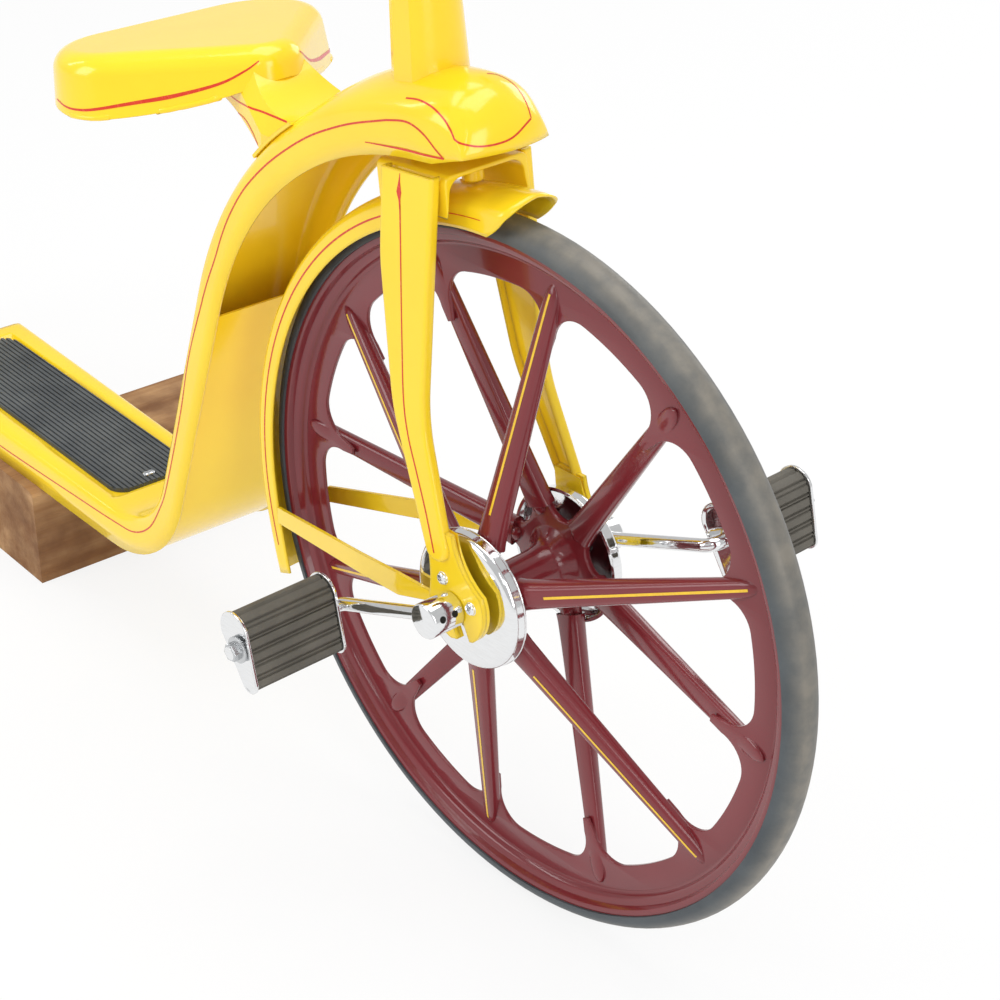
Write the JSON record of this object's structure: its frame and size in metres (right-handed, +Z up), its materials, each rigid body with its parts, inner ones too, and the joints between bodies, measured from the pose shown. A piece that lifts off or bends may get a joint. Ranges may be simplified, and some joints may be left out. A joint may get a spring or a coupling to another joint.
{
  "type": "pedal scooter",
  "caption": "Child's pedal scooter: tall spoked front wheel with cranks on its axle, pressed channel body with footboard and pan saddle, small rear wheel, resting on a timber.",
  "frame": {"origin": "on the floor, at the middle of the timber beam's length along the scooter and on its centre plane", "axes": "+X forward, +Y to the rider's left, +Z up"},
  "size_m": [1.3503, 0.4588, 0.828],
  "materials": {
    "yellow_paint": "gloss enamel",
    "maroon_paint": "gloss enamel",
    "tyre_rubber": "satin, dusty",
    "black_rubber": "matt",
    "chrome_plate": "polished",
    "zinc_steel": "zinc plated",
    "sawn_timber": "rough sawn"
  },
  "bodies": {
    "frame": {"body_channel": "yellow_paint", "leg_panel": "yellow_paint", "footboard_mat": "black_rubber", "wood_beam": "sawn_timber", "head_tube": "yellow_paint", "column_shroud": "yellow_paint", "saddle_pan": "yellow_paint", "saddle_bracket": "yellow_paint", "rear_fender": "yellow_paint", "rear_fork": "yellow_paint", "rear_axle": "zinc_steel"},
    "steering": {"fork_leg_right": "yellow_paint", "fork_leg_left": "yellow_paint", "fork_crown": "yellow_paint", "steering_stem": "chrome_plate", "handlebar": "chrome_plate", "grip_right": "black_rubber", "grip_left": "black_rubber", "front_fender": "yellow_paint", "fender_stay_right": "yellow_paint", "fender_stay_left": "yellow_paint"},
    "front_wheel_set": {"front_tyre": "tyre_rubber", "front_wheel": "maroon_paint", "hub_cup_right": "chrome_plate", "hub_cup_left": "chrome_plate", "front_axle": "zinc_steel", "crank_right": "chrome_plate", "crank_left": "chrome_plate", "pedal_nut_right": "zinc_steel", "pedal_nut_left": "zinc_steel"},
    "right_pedal": {"pedal_rubber_right": "black_rubber", "pedal_cage_right": "chrome_plate"},
    "left_pedal": {"pedal_rubber_left": "black_rubber", "pedal_cage_left": "chrome_plate"},
    "rear_wheel_set": {"rear_tyre": "tyre_rubber", "rear_wheel": "maroon_paint"}
  },
  "joints": [
    {"name": "steering_turn", "type": "hinge", "parent": "frame", "child": "steering", "pos_m": [0.534, 0, 0.568], "axis": [-0.0958, 0, 0.9954], "range_deg": [-43.1, 36.9]},
    {"name": "front_wheel_spin", "type": "hinge", "parent": "steering", "child": "front_wheel_set", "pos_m": [0.62192, 0.00311, 0.25399], "axis": [-0.0538, 0.9985, -0.0052], "continuous": true},
    {"name": "right_pedal_spin", "type": "hinge", "parent": "front_wheel_set", "child": "right_pedal", "pos_m": [0.52584, -0.12245, 0.21521], "axis": [-0.0538, 0.9985, -0.0052], "continuous": true},
    {"name": "left_pedal_spin", "type": "hinge", "parent": "front_wheel_set", "child": "left_pedal", "pos_m": [0.718, 0.12867, 0.29278], "axis": [-0.0538, 0.9985, -0.0052], "continuous": true},
    {"name": "rear_wheel_spin", "type": "hinge", "parent": "frame", "child": "rear_wheel_set", "pos_m": [-0.333, 0, 0.127], "axis": [0, 1, 0], "continuous": true}
  ]
}
